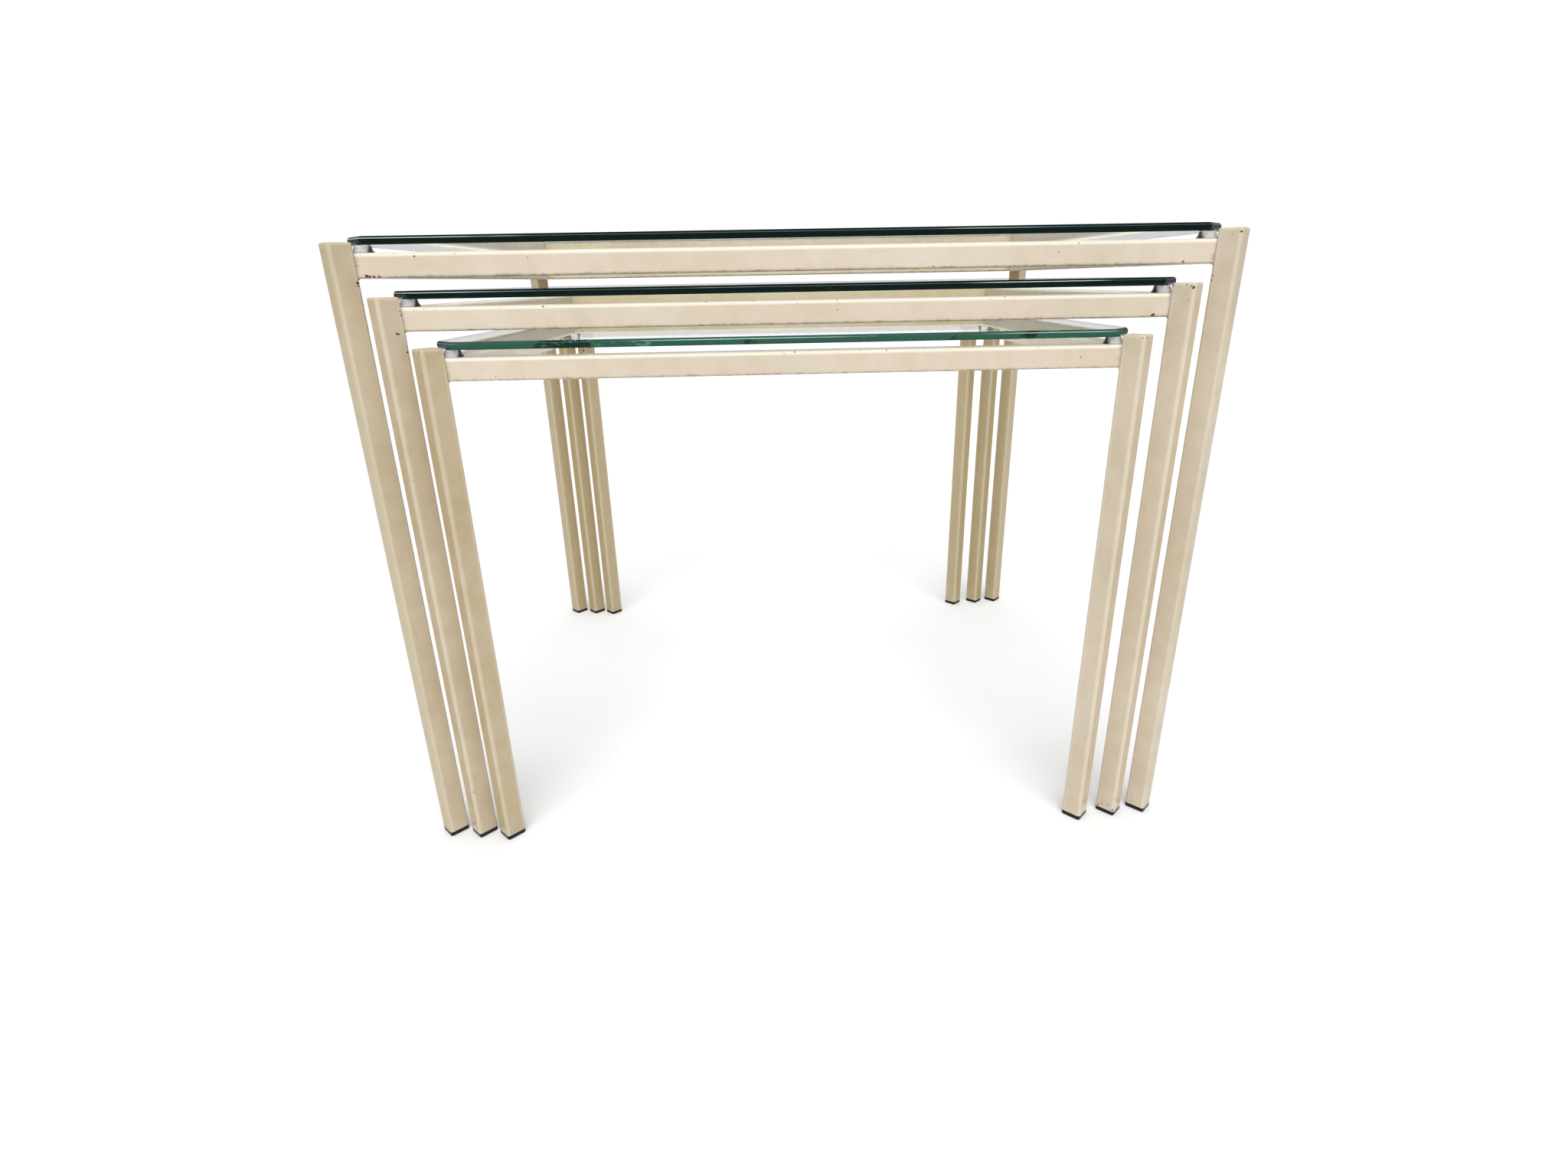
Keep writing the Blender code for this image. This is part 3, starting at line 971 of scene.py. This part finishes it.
class NEST_OT_chips(bpy.types.Operator):
    """Builds the rusted chips in the paint"""

    bl_idname = "nest.chips"
    bl_label = "Rusted Chips"

    def execute(self, context):
        shape, finish = context.scene.nest_shape, context.scene.nest_finish
        for table in TABLES:
            bm = bmesh.new()
            dice = random.Random(7 + TABLES.index(table))
            for mark in LEG_MARKS:
                if mark[0] == table:
                    self.mark_leg(bm, *mark, shape.corner, dice)
            for mark in RAIL_MARKS:
                if mark[0] == table:
                    self.mark_rail(bm, *mark, shape.corner, dice)
            rust = shared("rusted_chip", rust_material, finish)
            finish_piece(table + "_rusted_chips", bm, table, [rust])
        return {"FINISHED"}

    def add_chip(self, bm, place, way, radius, dice, stretch=1.0):
        """A flat, ragged blister that stands a hair proud of the paint."""
        thickness = 0.06 * MM
        made = bmesh.ops.create_cone(
            bm, cap_ends=True, segments=11, radius1=radius, radius2=radius * 0.7, depth=thickness)
        ragged = {}
        for vert in made["verts"]:
            bearing = round(math.atan2(vert.co.y, vert.co.x), 3)
            ragged.setdefault(bearing, dice.uniform(0.62, 1.25))
            vert.co.x *= ragged[bearing] * stretch
            vert.co.y *= ragged[bearing]
        spin = Matrix.Rotation(dice.uniform(-0.4, 0.4), 4, "Z")
        aim = Vector(way).to_track_quat("Z", "Y").to_matrix().to_4x4()
        move = Matrix.Translation(place)
        bmesh.ops.transform(bm, verts=made["verts"], matrix=move @ aim @ spin)

    def on_profile(self, along, round_off):
        """How deep a rounded edge lies below the tube's flat, and how far its normal has turned."""
        from_edge = min(along, TUBE - along)
        if from_edge >= round_off:
            return 0.0, 0.0
        turn = math.asin(min(1.0, (round_off - from_edge) / round_off))
        return round_off * (1 - math.cos(turn)), math.copysign(turn, TUBE / 2 - along)

    def mark_leg(self, bm, table, corner, face, along, height, radius, round_off, dice):
        """One chip of LEG_MARKS, laid on the flat or the rounded edge of its leg."""
        axis, _, top = leg_points(table, corner)
        hand = -1.0 if face == "left" else 1.0
        outward = Vector((hand, -1.0, 0.0)).normalized()
        away = Vector((hand, 1.0, 0.0)).normalized()
        depth, turn = self.on_profile(along * MM, round_off)
        place = axis + outward * (TUBE / 2 - depth) + away * (along * MM - TUBE / 2)
        place.z = height * MM + (top if height < 0 else 0.0)
        way = outward * math.cos(turn) - away * math.sin(turn)
        self.add_chip(bm, place, way, radius * MM, dice, stretch=dice.uniform(0.8, 1.3))

    def mark_rail(self, bm, table, along, height, radius, round_off, dice):
        """One chip of RAIL_MARKS, laid on the front of its rail."""
        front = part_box(table + "_front_rail")[0].y
        centre = middle(table + "_front_rail")
        depth, turn = self.on_profile(TUBE / 2 - height * MM, round_off)
        place = Vector((centre.x + along * MM, front + depth, centre.z + height * MM))
        way = Vector((0.0, -math.cos(turn), math.sin(turn)))
        self.add_chip(bm, place, way, radius * MM, dice, stretch=1.3)


class NEST_OT_stage(bpy.types.Operator):
    """Builds the floor, the lights and the camera"""

    bl_idname = "nest.stage"
    bl_label = "Floor, Lights and Camera"

    def execute(self, context):
        self.add_floor()
        self.add_world()
        white, cool = (1.0, 1.0, 1.0), (0.98, 1.0, 1.03)
        self.add_sun("key", toward=(0.0, -0.73, 0.685), spread=60, strength=1.94, colour=cool)
        overhead = self.add_sun(
            "overhead", toward=(0.0, 0.05, 1.0), spread=34, strength=1.2, colour=white)
        # From above, its disc would stand in the glass tops, which reflect on both faces.
        overhead.visible_glossy = False
        overhead.visible_transmission = False
        self.add_camera(context)
        context.scene.view_settings.view_transform = "Standard"
        return {"FINISHED"}

    def add_floor(self):
        """A disc wide enough to fill the view, whichever way the camera looks."""
        bm = bmesh.new()
        bmesh.ops.create_circle(bm, cap_ends=True, radius=9.0, segments=96)
        mesh = bpy.data.meshes.new("floor")
        bm.to_mesh(mesh)
        bm.free()
        mesh.materials.append(shared("white_floor", floor_material))
        floor = bpy.data.objects.new("floor", mesh)
        bpy.context.scene.collection.objects.link(floor)
        floor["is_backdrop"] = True

    def add_world(self):
        """Even white light from all round: pure white behind the nest, less so through glass."""
        world = bpy.data.worlds.new("studio")
        world.use_nodes = True
        tree = world.node_tree
        path = tree.nodes.new("ShaderNodeLightPath")
        strength_everywhere = 0.40
        brighter = {"Is Camera Ray": 0.65, "Is Transmission Ray": 0.34, "Is Glossy Ray": 0.25}
        strength = None
        for seen, more in brighter.items():
            add = tree.nodes.new("ShaderNodeMath")
            add.operation = "MULTIPLY_ADD"
            tree.links.new(path.outputs[seen], add.inputs[0])
            add.inputs[1].default_value = more
            add.inputs[2].default_value = strength_everywhere
            if strength is not None:
                tree.links.new(strength, add.inputs[2])
            strength = add.outputs[0]
        background = tree.nodes["Background"]
        tree.links.new(strength, background.inputs["Strength"])
        background.inputs["Color"].default_value = (1.0, 1.0, 1.0, 1.0)
        bpy.context.scene.world = world

    def add_sun(self, name, toward, spread, strength, colour):
        """A wide light, as strong everywhere, so the floor stays white out to the horizon.

        toward points at it, and spread is its width in degrees.
        """
        data = bpy.data.lights.new(name, "SUN")
        data.angle = math.radians(spread)
        data.energy = strength
        data.color = colour
        lamp = bpy.data.objects.new(name, data)
        lamp.rotation_euler = Vector(toward).to_track_quat("Z", "Y").to_euler()
        bpy.context.scene.collection.objects.link(lamp)
        return lamp

    def add_camera(self, context):
        """In front and a little to the left, at the height of the medium top, looking down."""
        data = bpy.data.cameras.new("camera")
        data.sensor_width = 36.0
        data.lens = 17.79
        data.shift_x = -0.0059
        data.shift_y = -0.0086
        data.clip_start, data.clip_end = 0.05, 60.0
        camera = bpy.data.objects.new("camera", data)
        eye = Vector((-0.0157, -0.7447, 0.4130))
        to_right, down, roll = (math.radians(angle) for angle in (1.458, 20.836, -1.040))
        turn = (
            Matrix.Rotation(-to_right, 4, "Z")
            @ Matrix.Rotation(math.pi / 2 - down, 4, "X")
            @ Matrix.Rotation(roll, 4, "Z")
        )
        camera.matrix_world = Matrix.Translation(eye) @ turn
        context.scene.collection.objects.link(camera)
        context.scene.camera = camera


class NEST_PT_panel(bpy.types.Panel):
    """Lists the pieces of the nest and their sizes and finishes"""

    bl_label = "Nest of Tables"
    bl_idname = "NEST_PT_panel"
    bl_space_type = "VIEW_3D"
    bl_region_type = "UI"
    bl_category = "Nest"

    def draw(self, context):
        for group in (context.scene.nest_shape, context.scene.nest_finish):
            column = self.layout.column(align=True)
            for name in group.__annotations__:
                column.prop(group, name)
        column = self.layout.column(align=True)
        for operator in OPERATORS:
            column.operator(operator.bl_idname)


OPERATORS = (
    NEST_OT_stage,
    NEST_OT_legs,
    NEST_OT_rails,
    NEST_OT_welds,
    NEST_OT_glides,
    NEST_OT_pads,
    NEST_OT_glass_tops,
    NEST_OT_chips,
)
CLASSES = (NestShape, NestFinish, *OPERATORS, NEST_PT_panel)


def register():
    for each in CLASSES:
        bpy.utils.register_class(each)
    bpy.types.Scene.nest_shape = bpy.props.PointerProperty(type=NestShape)
    bpy.types.Scene.nest_finish = bpy.props.PointerProperty(type=NestFinish)


def unregister():
    del bpy.types.Scene.nest_finish
    del bpy.types.Scene.nest_shape
    for each in reversed(CLASSES):
        bpy.utils.unregister_class(each)


def main():
    """Builds everything and measures how large it came out."""
    register()
    for operator in OPERATORS:
        group, name = operator.bl_idname.split(".")
        getattr(getattr(bpy.ops, group), name)()
    boxes = {"cad": CAD_BOX, "visual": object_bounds()}
    {key: [list(corner) for corner in box] for key, box in boxes.items()}


if __name__ == "__main__":
    main()
